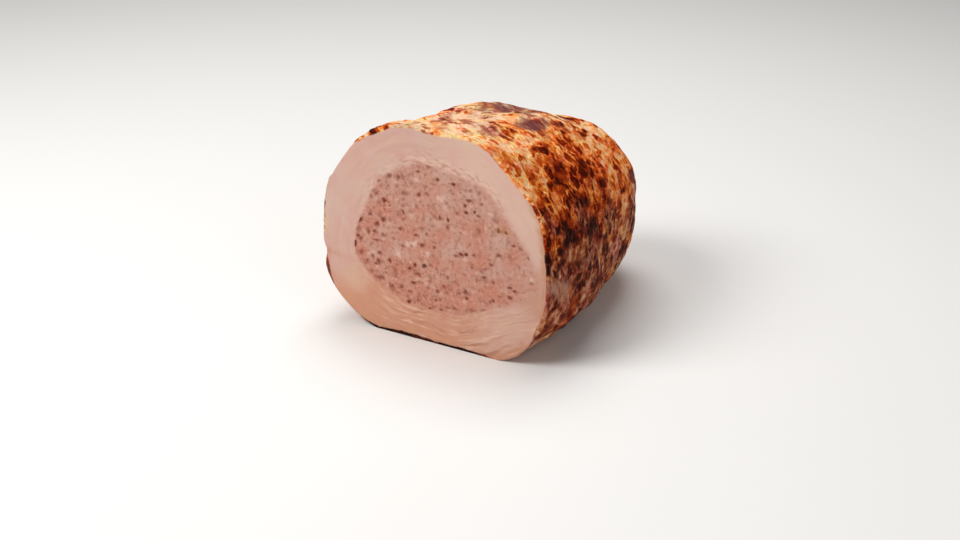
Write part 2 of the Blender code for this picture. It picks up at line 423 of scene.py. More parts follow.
def tint(red, green, blue):
    """A colour as light, from its screen values of 0 to 255."""
    screen = np.array([red, green, blue]) / 255
    light = np.where(screen <= 0.04045, screen / 12.92, ((screen + 0.055) / 1.055) ** 2.4)
    return (*light, 1.0)


def node(tree, kind, inputs=(), **settings):
    """Adds a shader node. An input that is given a socket is linked, any other value is set."""
    made = tree.nodes.new("ShaderNode" + kind)
    for name, value in settings.items():
        setattr(made, name, value)
    for name, value in dict(inputs).items():
        if isinstance(value, bpy.types.NodeSocket):
            tree.links.new(value, made.inputs[name])
        else:
            made.inputs[name].default_value = value
    return made


def maths(tree, operation, first, second=0.0, third=0.0):
    """The result of one sum on numbers."""
    inputs = {0: first, 1: second, 2: third}
    return node(tree, "Math", inputs, operation=operation).outputs[0]


# Each of the next ones puts its node into the tree of the value that it is given.
def plus(total, part, share):
    """A total with a share of one more part added."""
    return maths(part.id_data, "MULTIPLY_ADD", part, share, total)


def times(value, *factors):
    """A value times each of the factors."""
    for factor in factors:
        value = maths(value.id_data, "MULTIPLY", value, factor)
    return value


def spread(value, low, high, start=0.0, end=1.0):
    """Takes low..high to start..end, smoothly, and holds the ends."""
    inputs = {"Value": value, "From Min": low, "From Max": high, "To Min": start, "To Max": end}
    made = node(value.id_data, "MapRange", inputs, interpolation_type="SMOOTHSTEP")
    return made.outputs["Result"]


def mix(factor, first, second, blend="MIX"):
    """The first colour, blended by the factor with the second."""
    inputs = {0: factor, 6: first, 7: second}
    return node(factor.id_data, "Mix", inputs, data_type="RGBA", blend_type=blend).outputs[2]


def vector_maths(operation, first, second, third=(0.0, 0.0, 0.0), output="Vector"):
    """The result of one sum on vectors."""
    inputs = {0: first, 1: second, 2: third}
    return node(first.id_data, "VectorMath", inputs, operation=operation).outputs[output]


def scaled(place, factors):
    """A place times one factor for each axis."""
    inputs = {"Vector": place, "Scale": factors}
    return node(place.id_data, "Mapping", inputs).outputs["Vector"]


def noise(place, scale, detail=3.0, roughness=0.5, output="Fac"):
    """Cloudy values from 0 to 1."""
    inputs = {"Vector": place, "Scale": scale, "Detail": detail, "Roughness": roughness}
    return node(place.id_data, "TexNoise", inputs).outputs[output]


def swing(place, scale, detail=3.0, roughness=0.5):
    """Cloudy values about zero."""
    cloud = noise(place, scale, detail, roughness)
    return maths(place.id_data, "SUBTRACT", cloud, 0.5)


def ramp(factor, stops):
    """A colour for each value, blended between the stops: (place, colour)."""
    made = node(factor.id_data, "ValToRGB", {"Fac": factor})
    steps = made.color_ramp.elements
    while len(steps) < len(stops):
        steps.new(1.0)
    for step, (place, colour) in zip(steps, stops):
        step.position = place
        step.color = colour
    return made.outputs["Color"]


def stored(tree, name, output="Fac"):
    """What a mesh keeps for each of its points under a name."""
    return node(tree, "Attribute", attribute_name=name).outputs[output]


def new_group(name, inputs=()):
    """An empty node group that takes numbers, and puts out a colour and a height."""
    tree = bpy.data.node_groups.new(name, "ShaderNodeTree")
    for label in inputs:
        tree.interface.new_socket(label, in_out="INPUT", socket_type="NodeSocketFloat")
    tree.interface.new_socket("Colour", in_out="OUTPUT", socket_type="NodeSocketColor")
    tree.interface.new_socket("Height", in_out="OUTPUT", socket_type="NodeSocketFloat")
    return tree


def finished_group(tree, colour, height):
    """Links what a group puts out."""
    end = tree.nodes.new("NodeGroupOutput")
    tree.links.new(colour, end.inputs["Colour"])
    tree.links.new(height, end.inputs["Height"])
    return tree


def use_group(tree, group, **values):
    """Places a group in a tree with values of its own, and gives its outputs."""
    made = tree.nodes.new("ShaderNodeGroup")
    made.node_tree = group
    for label, value in values.items():
        made.inputs[label].default_value = value
    return made.outputs


# Cut meat: pale and pinkish at the top, warmer below, partly painted warm bounce light, in thin layers
# that lie round the roll.
MEAT_PALE = tint(208, 174, 159)
MEAT_PINK = tint(208, 167, 153)
MEAT_PALEST = tint(216, 178, 161)
# The warm colour is partly painted bounce light.
MEAT_WARM_AND_BOUNCE = tint(206, 149, 122)
MEAT_TANNED = tint(196, 141, 114)
MEAT_LAYER_DARK = tint(182, 124, 98)
MEAT_LAYER_LIGHT = tint(226, 186, 166)
MEAT_CREASE = tint(196, 130, 100)
ROSY_MEAT = (1.0, 0.945, 0.97, 1.0)
SALLOW_MEAT = (1.0, 1.03, 0.95, 1.0)
# A darker patch low on the right of the cut and a paler one low on the left: middle (x, z), radius where
# the patch is full, radius where it ends, colour.
MEAT_PATCHES = (
    ((0.066, 0.043), 0.004, 0.022, tint(190, 137, 116)),
    ((-0.050, 0.028), 0.003, 0.013, tint(213, 172, 147)),
)
# Scales of the patterns, in waves a metre, and of those along the fibres, in waves a millimetre.
CLOUD_SCALE = 45
FLUSH_SCALE = 120
TAN_SCALE = 190
LAYER_PATCH_SCALE = 70
LAYER_SCALE = 0.36
THREAD_SCALE = 0.50
CRINKLE_SCALE = 0.75
CRINKLE_SHORTENED = (1.8, 1.8, 1.0)
LAYER_SWAY = (0.0, 0.0, 8.0)


def meat_colour(tree, place, height, sideways, wavy):
    """The meat without its layers: clouds, palest high on the right, warm below, partly painted bounce
    light, tanned at the skin.
    """
    cloud = noise(place, CLOUD_SCALE, 2.0)
    colour = mix(spread(cloud, 0.40, 0.62), MEAT_PALE, MEAT_PINK)
    palest = times(spread(sideways, -0.01, 0.03), spread(height, 0.055, 0.085))
    colour = mix(palest, colour, MEAT_PALEST)
    # Warmer low on the left: partly the meat's own colour, partly painted warm bounce light from below.
    on_left = spread(sideways, 0.045, 0.005, 0.35, 1.0)
    warmth_and_bounce = times(spread(wavy, 0.050, 0.018), on_left)
    colour = mix(warmth_and_bounce, colour, MEAT_WARM_AND_BOUNCE)
    for (x, z), full, end, patch_colour in MEAT_PATCHES:
        middle = (x + TO_PLACE[0], TO_PLACE[1], z)
        distance = vector_maths("DISTANCE", place, middle, output="Value")
        colour = mix(spread(distance, end, full, 0.0, 0.7), colour, patch_colour)
    flush = noise(place, FLUSH_SCALE)
    colour = mix(spread(flush, 0.52, 0.68), colour, ROSY_MEAT, "MULTIPLY")
    colour = mix(spread(flush, 0.48, 0.32), colour, SALLOW_MEAT, "MULTIPLY")
    tanned = plus(stored(tree, "tanned"), swing(place, TAN_SCALE), 0.9)
    return mix(spread(tanned, 0.15, 0.90, 0.0, 0.9), colour, MEAT_TANNED)


def cut_meat_group():
    """Cut meat: its colour, with dark and light layers low in the cut and crinkles by the stuffing."""
    tree = new_group("cut_meat")
    place = node(tree, "TexCoord").outputs["Object"]
    axes = node(tree, "SeparateXYZ", {0: place}).outputs
    height = axes["Z"]
    sideways = axes["X"]
    wavy = plus(height, swing(place, CLOUD_SCALE, 2.0), 0.06)
    colour = meat_colour(tree, place, height, sideways, wavy)

    # Layers that sway as they run round the roll, strongest low in the cut and off its sides.
    sway = noise(place, CLOUD_SCALE, 4.0, 0.62, "Color")
    sway = vector_maths("MULTIPLY", sway, LAYER_SWAY)
    fibre = vector_maths("ADD", stored(tree, "fibre", "Vector"), sway)
    layers = noise(fibre, LAYER_SCALE)
    threads = noise(fibre, THREAD_SCALE, 3.0, 0.55)
    patchy = spread(noise(place, LAYER_PATCH_SCALE, 2.0), 0.36, 0.60, 0.25, 1.0)
    low_in_cut = spread(wavy, 0.036, 0.010, 0.10, 1.0)
    off_right = spread(sideways, 0.052, 0.025, 0.30, 1.0)
    off_left = spread(sideways, -0.042, -0.028, 0.10, 1.0)
    strength = times(low_in_cut, patchy, off_right, off_left)
    dark = times(spread(layers, 0.50, 0.30), strength)
    colour = mix(dark, colour, MEAT_LAYER_DARK)
    light = times(spread(threads, 0.46, 0.68), strength, 0.80)
    colour = mix(light, colour, MEAT_LAYER_LIGHT)

    # Crinkles: the same layers, short and fine, beside the stuffing high in the cut.
    shortened = vector_maths("MULTIPLY", fibre, CRINKLE_SHORTENED)
    crinkles = noise(shortened, CRINKLE_SCALE, 2.0)
    near_stuffing = spread(stored(tree, "to_stuffing"), 9.0, 1.0, 0.0, 1.25)
    off_left = spread(sideways, -0.030, 0.0, 0.35, 1.0)
    off_right = spread(sideways, 0.046, 0.032)
    high_in_cut = spread(height, 0.055, 0.085, 0.3, 1.0)
    beside = times(near_stuffing, off_left, off_right, high_in_cut)
    dark = times(spread(crinkles, 0.50, 0.34, 0.0, 0.6), beside)
    colour = mix(dark, colour, MEAT_LAYER_DARK)
    light = times(spread(crinkles, 0.50, 0.68, 0.0, 0.9), beside)
    colour = mix(light, colour, MEAT_LAYER_LIGHT)

    colour = mix(times(stored(tree, "crease"), 0.42), colour, MEAT_CREASE)
    relief = plus(layers, threads, 0.5)
    relief = times(relief, spread(height, 0.075, 0.035, 0.4, 1.0))
    return finished_group(tree, colour, relief)


# Stuffing: fine minced meat, pinkish brown, clouded with greyer and redder patches.
STUFFING_BASE = tint(197, 145, 127)
STUFFING_RED = tint(195, 131, 110)
STUFFING_GREY = tint(198, 155, 139)
# The low colour is partly painted warm bounce light.
STUFFING_LOW = tint(197, 134, 112)
STUFFING_DARK = tint(158, 104, 86)
STUFFING_LIGHT = tint(212, 168, 150)
STUFFING_CLOUD_SCALE = 90
CRUMB_SCALE = 420


def stuffing_tone_group():
    """Minced stuffing: clouds, redder low on the left, partly painted warm bounce light, greyer at the
    top, with a dark and pale crumb.
    """
    tree = new_group("stuffing_tone")
    place = node(tree, "TexCoord").outputs["Object"]
    axes = node(tree, "SeparateXYZ", {0: place}).outputs
    cloud = noise(place, STUFFING_CLOUD_SCALE, 4.0)
    colour = mix(spread(cloud, 0.45, 0.65), STUFFING_BASE, STUFFING_RED)
    colour = mix(spread(cloud, 0.48, 0.34), colour, STUFFING_GREY)
    # Redder low on the left: partly the stuffing's own colour, partly painted warm bounce light from
    # below.
    low_left = times(spread(axes["Z"], 0.046, 0.026), spread(axes["X"], 0.040, 0.010))
    colour = mix(times(low_left, 0.75), colour, STUFFING_LOW)
    colour = mix(spread(axes["Z"], 0.066, 0.096, 0.0, 0.45), colour, STUFFING_GREY)
    crumb = noise(place, CRUMB_SCALE, 4.0, 0.6)
    colour = mix(spread(crumb, 0.48, 0.36, 0.0, 0.5), colour, STUFFING_DARK)
    colour = mix(spread(crumb, 0.54, 0.70, 0.0, 0.6), colour, STUFFING_LIGHT)
    return finished_group(tree, colour, crumb)


# The two run into each other about the stuffing's outline, along a ragged edge: its scale, how far
# it wanders in millimetres, and how far the two blend, from the left of the cut to the right.
RAGGED_SCALE = 150
RAGGED_MM = 9.0
BLEND_MM = (1.6, 3.2)


def cut_surface_group(meat_group, stuffing_group):
    """The whole cut. Relief is the strength of its height."""
    tree = new_group("cut_surface", ["Relief"])
    place = node(tree, "TexCoord").outputs["Object"]
    sideways = node(tree, "SeparateXYZ", {0: place}).outputs["X"]
    ragged = swing(place, RAGGED_SCALE, 4.0, 0.7)
    distance = plus(stored(tree, "to_stuffing"), ragged, RAGGED_MM)
    blend = spread(sideways, -0.02, 0.05, *BLEND_MM)
    within = spread(distance, blend, times(blend, -1.0))
    meat_side = use_group(tree, meat_group)
    stuffing_side = use_group(tree, stuffing_group)
    colour = mix(within, meat_side["Colour"], stuffing_side["Colour"])
    meat_height = times(meat_side["Height"], maths(tree, "SUBTRACT", 1.0, within))
    height = plus(meat_height, stuffing_side["Height"], within)
    relief = tree.nodes.new("NodeGroupInput").outputs["Relief"]
    return finished_group(tree, colour, times(height, relief))


cut_surface = cut_surface_group(cut_meat_group(), stuffing_tone_group())

# Roasted skin: two scales of colours, from pale to black. The bright one runs through orange and
# red-brown. The dull one, for skin that stayed moist and lay in fat, and for the painted contact
# shadow at the cut's bottom edge, runs through greyer browns.
BRIGHT_SKIN = (
    (0.00, tint(250, 206, 156)),
    (0.10, tint(250, 188, 124)),
    (0.20, tint(247, 164, 94)),
    (0.31, tint(238, 136, 62)),
    (0.43, tint(216, 104, 38)),
    (0.56, tint(184, 69, 16)),
    (0.69, tint(150, 45, 8)),
    (0.82, tint(116, 32, 7)),
    (1.00, tint(74, 21, 10)),
)
DULL_SKIN = (
    (0.00, tint(232, 196, 162)),
    (0.12, tint(218, 170, 134)),
    (0.22, tint(207, 148, 112)),
    (0.33, tint(188, 122, 88)),
    (0.45, tint(163, 91, 64)),
    (0.57, tint(137, 66, 43)),
    (0.70, tint(108, 45, 29)),
    (0.84, tint(78, 30, 21)),
    (1.00, tint(44, 19, 16)),
)
# The purple colour is partly painted sheen.
PURPLE_SKIN_AND_SHEEN = tint(118, 70, 70)
# The pale colour is partly painted glint.
PALE_SKIN_AND_GLINT = tint(218, 160, 134)
GOLDEN_CAST = (1.0, 1.09, 0.86, 1.0)
ROSY_CAST = (1.0, 0.82, 1.16, 1.0)
RUDDY_CAST = (1.07, 0.87, 0.80, 1.0)
# Scales of the skin's patterns, in waves a metre, from the broadest to the finest.
BROAD_SCALE = 60
BLOTCH_SCALE = 78
CAST_SCALE = 105
SCORCH_SCALE = 110
CELL_SCALE = 140
STRAND_SCALE = 140
FRECKLE_SCALE = 185
BEND_SCALE = 190
EDGE_SCALE = 210
MOTTLED_SCALE = 230
STREAK_SCALE = 330
CELL_BEND = (0.008, 0.008, 0.008)
CELL_SQUEEZE = (1.0, 1.35, 1.0)
GRAIN_SQUEEZE = (1.0, 1.2, 1.0)
STRAND_SQUEEZE = (1.0, 2.5, 1.0)
# How much each pattern browns the skin, and what they add on average, which is taken off again.
BROWNED_BY = {"broad": 0.55, "blotch": 0.33, "freckle": 0.14, "cell": 0.33, "raised": 0.25}
PATTERN_MEAN = 0.27


def skin_patterns(tree):
    """The skin's patterns by name: clouds of several sizes, browned cells in a paler net, strands
    and streaks drawn out round the roll, and how far the skin is raised."""
    skin_at = stored(tree, "skin_place", "Vector")
    grain = scaled(skin_at, GRAIN_SQUEEZE)
    drawn_out = scaled(skin_at, STRAND_SQUEEZE)
    bend = noise(grain, BEND_SCALE, 3.0, 0.6, "Color")
    bend = vector_maths("SUBTRACT", bend, (0.5, 0.5, 0.5))
    bent = scaled(vector_maths("MULTIPLY_ADD", bend, CELL_BEND, grain), CELL_SQUEEZE)
    in_cells = {"Vector": bent, "Scale": CELL_SCALE}
    cell_colour = node(tree, "TexVoronoi", in_cells).outputs["Color"]
    cell = node(tree, "SeparateColor", {0: cell_colour}).outputs[0]
    to_edge = node(tree, "TexVoronoi", in_cells, feature="DISTANCE_TO_EDGE").outputs["Distance"]
    return {
        "broad": swing(grain, BROAD_SCALE, 2.0),
        "blotch": spread(noise(grain, BLOTCH_SCALE), 0.44, 0.60),
        "cast": swing(grain, CAST_SCALE, 3.0, 0.55),
        "ragged": swing(grain, SCORCH_SCALE, 3.0, 0.55),
        "purple_and_sheen": swing(grain, SCORCH_SCALE),
        "freckle": spread(noise(grain, FRECKLE_SCALE, 2.0, 0.45), 0.50, 0.61),
        "mottled": swing(grain, MOTTLED_SCALE),
        "cell": times(spread(cell, 0.25, 0.85), spread(to_edge, 0.02, 0.22)),
        "net": spread(to_edge, 0.17, 0.0),
        "strands": swing(drawn_out, STRAND_SCALE),
        "streaks": swing(drawn_out, STREAK_SCALE, 3.0, 0.65),
        "raised": stored(tree, "raised"),
    }


def skin_tone(tree, pattern):
    """How browned the skin is: its broad zones, each pattern's share, and the scorches, some of them
    painted contact shadow.
    """
    dull = stored(tree, "dull")
    near_cut = spread(stored(tree, "skin_depth"), -28.0, -4.0, 0.25, 0.60)
    strand_strength = plus(near_cut, dull, 0.60)
    fine_strength = spread(dull, 0.2, 1.2, 1.0, 0.5)
    fine = plus(times(pattern["streaks"], 0.72), pattern["mottled"], 0.60)
    fine = plus(fine, pattern["net"], -0.15)
    # Scorches darken the tone; along the cut's bottom edge this is painted contact shadow.
    ragged = plus(stored(tree, "scorch_and_contact_shadow"), pattern["ragged"], 1.3)
    burnt_and_shaded = spread(ragged, 0.38, 0.72)
    charred_and_shaded = spread(ragged, 0.85, 1.40)
    tone = stored(tree, "browning")
    for name, share in BROWNED_BY.items():
        tone = plus(tone, pattern[name], share)
    tone = plus(tone, fine, fine_strength)
    tone = plus(tone, pattern["strands"], strand_strength)
    tone = maths(tree, "SUBTRACT", tone, PATTERN_MEAN)
    tone = plus(tone, burnt_and_shaded, 0.26)
    return plus(tone, charred_and_shaded, 0.38)


def skin_colour(tree, pattern, tone):
    """The skin's tone as a colour, with golden, rosy and ruddy casts, and purple and pale spots, partly
    painted sheen and glints.
    """
    dull = spread(plus(stored(tree, "dull"), pattern["broad"], 3.0), 0.15, 1.0)
    colour = mix(dull, ramp(tone, BRIGHT_SKIN), ramp(tone, DULL_SKIN))
    golden = spread(pattern["cast"], 0.02, 0.14)
    colour = mix(golden, colour, GOLDEN_CAST, "MULTIPLY")
    not_palest = spread(tone, 0.08, 0.32, 0.25, 1.0)
    rosy = times(spread(pattern["cast"], -0.02, -0.14), not_palest)
    colour = mix(rosy, colour, ROSY_CAST, "MULTIPLY")
    ruddy = times(stored(tree, "ruddy"), spread(tone, 0.85, 0.40))
    colour = mix(ruddy, colour, RUDDY_CAST, "MULTIPLY")
    # Purple spots and random patches, partly painted sheen.
    purple_and_sheen = plus(stored(tree, "purple_and_sheen"), pattern["purple_and_sheen"], 2.2)
    colour = mix(spread(purple_and_sheen, 0.40, 1.0, 0.0, 0.8), colour, PURPLE_SKIN_AND_SHEEN)
    # Pale spots and streaks, partly painted glints.
    pale = plus(stored(tree, "pale"), pattern["strands"], 2.6)
    return mix(spread(pale, 0.30, 1.2, 0.0, 0.75), colour, PALE_SKIN_AND_GLINT)


def roast_material():
    """Browned skin outside and the cut inside, which meet along an uneven line at the rim."""
    material = bpy.data.materials.new("turkey_roast")
    material.use_nodes = True
    tree = material.node_tree
    shader = tree.nodes["Principled BSDF"]
    pattern = skin_patterns(tree)
    tone = skin_tone(tree, pattern)
    cut = use_group(tree, cut_surface, Relief=0.45)
    place = node(tree, "TexCoord").outputs["Object"]
    depth = plus(stored(tree, "skin_depth"), swing(place, EDGE_SCALE), 2.2)
    on_cut = spread(depth, -0.3, 0.5)
    colour = mix(on_cut, skin_colour(tree, pattern, tone), cut["Colour"])
    tree.links.new(colour, shader.inputs["Base Color"])

    skin_roughness = spread(tone, 0.2, 0.9, 0.68, 0.58)
    tree.links.new(plus(skin_roughness, on_cut, -0.08), shader.inputs["Roughness"])
    shader.inputs["Specular IOR Level"].default_value = 0.02

    skin_height = plus(pattern["strands"], pattern["streaks"], 1.2)
    skin_height = plus(skin_height, pattern["mottled"], 1.2)
    skin_height = plus(skin_height, pattern["cell"], 0.30)
    height = mix(on_cut, skin_height, cut["Height"])
    bumped = node(tree, "Bump", {"Height": height, "Distance": 0.0020, "Strength": 0.8})
    tree.links.new(bumped.outputs["Normal"], shader.inputs["Normal"])
    return material


meat_mesh.materials.append(roast_material())
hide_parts("turkey_meat")
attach(meat, "root")


# --- The stuffing -----------------------------------------------------------------------------
# Finely minced meat with herbs, pepper and bits of fat, packed inside the breast before it was
# rolled. At the cut its face lies flush with the meat; behind it, it fills the bed to its end.

FACE_GRID = 280
WALL_ROWS = 8
WALL_CLEARANCE = 0.0002

# The face is a square grid drawn in to the outline. A point's distance from the middle, along the
# wider axis, is its share of the radius, and its place along that side of the square is its turn.
grid_steps = np.linspace(-1, 1, FACE_GRID)
across, up = np.meshgrid(grid_steps, grid_steps)
is_wide = np.abs(across) >= np.abs(up)
reach = np.where(is_wide, across, up)
wide_turn = pi / 4 * up / np.where(is_wide, across, 1)
high_turn = pi / 2 - pi / 4 * across / np.where(is_wide, 1, up)
turn = np.where(is_wide, wide_turn, high_turn)
turn = np.arctan2(reach * np.sin(turn), reach * np.cos(turn))
reach = np.abs(reach)
face_radii = smooth_outline(STUFFING_RADII_MM, turn)
face_x = STUFFING_MIDDLE[0] + reach * face_radii * np.cos(turn)
face_z = STUFFING_MIDDLE[1] + reach * face_radii * np.sin(turn)
face_points = np.stack([face_x, np.zeros_like(face_x), face_z], axis=-1)
inside_edge = (1 - reach) * face_radii / MM

# Bits that show in the cut: place in millimetres (x, z), half-widths, and slant in degrees.
DARK_BITS = (
    (-48.6, 49, 0.9, 1.8, 5), (-4, 45, 1.4, 1.1, 20), (11.6, 75.3, 0.7, 1.1, 0),
    (27.7, 82.6, 0.7, 1.1, 0),
)
RED_BITS = (
    (11.2, 71, 1.3, 1.1, 30), (59.9, 63.7, 1.1, 1.0, 0), (-0.6, 20.4, 1.2, 0.9, 0),
    (24.9, 94, 1.5, 1.1, 35), (15.2, 95.8, 1.6, 1.1, 0), (-6.4, 85.6, 1.3, 1.4, 30),
    (-32.4, 89, 1.6, 1.0, 15), (49, 38.7, 1.5, 1.1, 0), (-33.3, 41.5, 2.2, 1.5, 25),
    (-35, 39.8, 1.2, 0.9, 0), (-24.7, 28.2, 2.1, 1.4, 5), (-18.8, 29.6, 1.7, 1.2, 15),
    (-25.8, 43.6, 1.3, 1.4, 0), (-13.2, 41.6, 1.8, 1.2, 20), (-9.7, 44.4, 1.0, 1.4, 0),
    (-40.7, 40.7, 1.2, 1.5, 0), (-32.2, 46.9, 1.6, 1.1, 10), (-44.7, 63.7, 2.2, 1.6, 30),
    (-38.2, 68.4, 1.6, 1.3, 30), (-29.4, 66.8, 1.7, 1.6, 0), (-35.5, 59, 1.5, 1.2, 0),
    (-46.5, 54, 1.3, 1.2, 0), (-44.7, 52.3, 1.3, 1.4, 0), (-16.5, 73.9, 1.5, 1.4, 0),
    (-18.5, 64, 1.7, 1.2, 0), (-8.3, 62.3, 1.8, 1.0, 10), (3, 57.4, 1.4, 1.1, 30),
    (-24.8, 93.1, 2.0, 1.4, 35), (-19.4, 93.2, 1.9, 1.5, 50), (-6.8, 98.5, 1.6, 1.0, 10),
    (-1.8, 87.3, 1.2, 1.0, 0), (5.2, 96.5, 1.4, 1.0, 0), (24.4, 88.4, 1.9, 1.0, 0),
    (22, 85.3, 0.9, 1.2, 0), (22.7, 81.6, 1.8, 1.0, 10), (50.9, 68.8, 1.3, 1.0, 0),
    (42, 61.4, 1.8, 1.2, 20), (19.3, 56.9, 1.7, 1.6, 0), (22.7, 57.7, 1.3, 0.9, 0),
    (37.6, 55.2, 1.4, 1.0, 0), (38.8, 45.1, 1.1, 1.3, 0), (33.2, 46.6, 1.3, 1.1, 0),
    (11.1, 41.8, 1.3, 1.1, 0), (21.8, 35.6, 1.5, 1.5, 0), (38.9, 35.1, 1.3, 1.2, 0),
    (22.7, 31.9, 1.1, 1.1, 0), (3.4, 26.6, 1.3, 0.8, 10), (48.6, 44.4, 1.5, 0.7, 10),
    (51.7, 43.2, 1.3, 0.9, 0), (-14.3, 21.4, 1.5, 1.1, 30), (-28.5, 78.5, 1.8, 1.7, 40),
    (-1.8, 64.2, 1.3, 1.1, 0),
)
SOFT_BITS = (
    (-45.8, 58.3, 1.7, 2.2, 0), (-39.7, 58.3, 1.6, 2.1, 20), (-33.7, 63.7, 1.8, 2.0, 0),
    (-29.6, 57.7, 2.2, 1.3, 0), (-34, 54, 3.0, 0.9, 5), (-37, 43.8, 1.3, 1.7, 0),
    (-44.4, 45, 2.2, 1.8, 20), (-22.2, 36.7, 1.4, 2.5, 15), (-33.3, 31.6, 3.2, 1.5, 5),
    (-36.1, 29, 1.8, 1.0, 20), (-13.4, 27.6, 1.8, 1.0, 0), (-7.7, 39.3, 2.0, 1.1, 10),
    (-4.3, 66.8, 2.2, 1.4, 10), (-4.9, 57.2, 2.6, 1.3, 5), (-16.9, 54, 1.8, 1.2, 0),
    (-22.8, 57.4, 1.4, 1.1, 0), (-38, 87.5, 1.6, 1.0, 25), (-12.3, 95.8, 1.4, 1.1, 30),
    (-15.7, 85, 3.0, 1.6, 0), (-33.3, 81.3, 1.8, 1.4, 0), (-37.2, 79, 1.4, 1.6, 0),
    (-16.4, 77.9, 1.4, 1.3, 0), (-8, 79, 1.3, 1.5, 0), (-31.9, 76.8, 1.4, 1.1, 0),
    (13.6, 92.1, 1.4, 1.2, 40), (31.8, 87.8, 1.6, 1.0, 0), (17, 80.2, 1.4, 1.1, 0),
    (6.8, 74.8, 2.0, 1.5, 0), (30.1, 72.5, 1.4, 2.0, 0), (54.5, 68, 1.6, 1.2, 0),
    (17, 55.7, 2.0, 0.9, 5), (27.6, 58, 1.6, 1.0, 0), (34, 51.8, 2.8, 1.0, 25),
    (31.8, 49.8, 1.6, 1.1, 0), (25.9, 51.2, 1.1, 1.5, 0), (8.8, 35.6, 1.6, 1.4, 0),
    (17.6, 33.6, 1.6, 1.3, 0), (4.5, 31.9, 1.6, 1.0, 0), (11, 24, 2.8, 1.0, 5),
    (15.8, 24.3, 2.6, 1.0, 5), (6.8, 21.6, 1.6, 0.9, 0), (26, 26, 2.2, 1.0, 5),
    (33.5, 27.5, 3.0, 1.0, 5), (61, 49.8, 1.6, 0.9, 10), (43, 38.1, 1.7, 1.0, 0),
    (28.7, 44.4, 1.2, 1.5, 0), (-10.8, 33.6, 1.6, 1.1, 10), (0, 103, 3.0, 1.2, -20),
)
PALE_BITS = (
    (-10, 56.9, 2.8, 1.7, 30), (-14.8, 55.7, 1.4, 1.5, 0), (-2, 52.6, 3.0, 1.9, 20),
    (-20.2, 48.4, 2.2, 1.8, 0), (-7.4, 93.5, 2.2, 1.3, 0), (7, 86, 2.4, 1.8, 0),
    (11, 82, 1.8, 2.0, 0), (61.5, 52, 1.6, 1.2, 20),
)
PEPPER_BITS = ((41.8, 74.9, 1.4, 1.6, 0), (46.2, 75, 0.8, 1.0, 0), (6.4, 75, 0.9, 1.0, 0))
PEPPER_HALOES = ((43.5, 75.6, 5.2, 3.2, 0), (30, 75, 2.4, 1.6, 0))
# Bits too small to place: number, smallest and largest half-widths, softness, and strength.
SOFT_SCATTER = ((90, 0.9, 2.0, 1.4, 0.50), (150, 0.6, 1.3, 1.2, 0.42), (300, 0.4, 0.8, 1.3, 0.30))
DARK_SCATTER = ((14, 0.4, 0.8, 0.6, 0.70),)
PALE_SCATTER = ((80, 0.6, 1.8, 1.2, 0.70),)
SPECK_SEED = 21
LEFT_SHARE = 0.35
EDGE_CROWDING = 0.42
OUTERMOST = 0.98
OVALNESS = (0.7, 1.3)
OVAL_EDGE = 1.35
FRAYING = 0.9
FRAY_SIZE = 0.0011
FRAY_SEED = 31
# Patches in which the red bits are fainter: the least strength, what is added to it, size, seed.
SOFT_FADE = (0.60, 0.70, 0.006, 32)
RED_FADE = (0.62, 0.60, 0.008, 33)

frayed = FRAYING * (mottle(face_points, FRAY_SIZE, FRAY_SEED) - 0.5)


def bits(places, softness):
    """The largest of ragged ovals: 1 within each, falling to 0 over the softness of its edge."""
    mask = np.zeros_like(face_x)
    for x, z, half_wide, half_high, slant in places:
        right = face_x / MM - x
        above = face_z / MM - z
        c = np.cos(radians(slant))
        s = np.sin(radians(slant))
        span = np.hypot((right * c + above * s) / half_wide, (above * c - right * s) / half_high)
        mask = np.maximum(mask, np.clip((OVAL_EDGE + frayed - span) / softness, 0, 1))
    return mask


def scattered(draw, count, smallest, largest):
    """Random ovals over the face: closer together towards its edge, and more of them at the left."""
    turns = draw.uniform(0, 2 * pi, count)
    moved = (draw.uniform(0, 1, count) < LEFT_SHARE) & (np.cos(turns) > 0)
    turns = np.where(moved, pi - turns, turns)
    reaches = draw.uniform(0, 1, count) ** EDGE_CROWDING * OUTERMOST
    radii = reaches * smooth_outline(STUFFING_RADII_MM, turns) / MM
    sizes = smallest + (largest - smallest) * draw.uniform(0, 1, count) ** 2
    return np.column_stack([
        STUFFING_MIDDLE[0] / MM + radii * np.cos(turns),
        STUFFING_MIDDLE[1] / MM + radii * np.sin(turns),
        sizes * draw.uniform(*OVALNESS, count),
        sizes * draw.uniform(*OVALNESS, count),
        draw.uniform(0, 180, count),
    ])


def with_scatter(mask, draw, scatters):
    """The larger of a mask and of the random ovals of each scatter at their strength."""
    for count, smallest, largest, softness, strength in scatters:
        ovals = scattered(draw, count, smallest, largest)
        mask = np.maximum(mask, strength * bits(ovals, softness))
    return mask


def faded(least, added, size, seed):
    """The strength of bits over the face: the least, and a share of what is added, in patches."""
    return least + added * mottle(face_points, size, seed)


# Each kind of bit as a mask over the face. The soft ones are faint red bits.
speck_draw = np.random.default_rng(SPECK_SEED)
soft_specks = with_scatter(0.75 * bits(SOFT_BITS, 1.2), speck_draw, SOFT_SCATTER)
dark_specks = with_scatter(bits(DARK_BITS, 0.5), speck_draw, DARK_SCATTER)
pale_specks = with_scatter(bits(PALE_BITS, 0.9), speck_draw, PALE_SCATTER)
soft_fade = faded(*SOFT_FADE)
red_fade = np.clip(faded(*RED_FADE), 0, 1)
red_specks = np.maximum(red_fade * bits(RED_BITS, 1.0), soft_fade * soft_specks)

# The face has soft swells, a fine crumb, and specks that sit a little below the cut.
CRUMB_HEIGHT = 0.00030
CRUMB_SIZE = 0.0016
CRUMB_SEED = 41
SWELL_HEIGHT = 0.0005
SWELL_SIZE = 0.011
SWELL_SEED = 42
SPECK_DEPTH = 0.00018

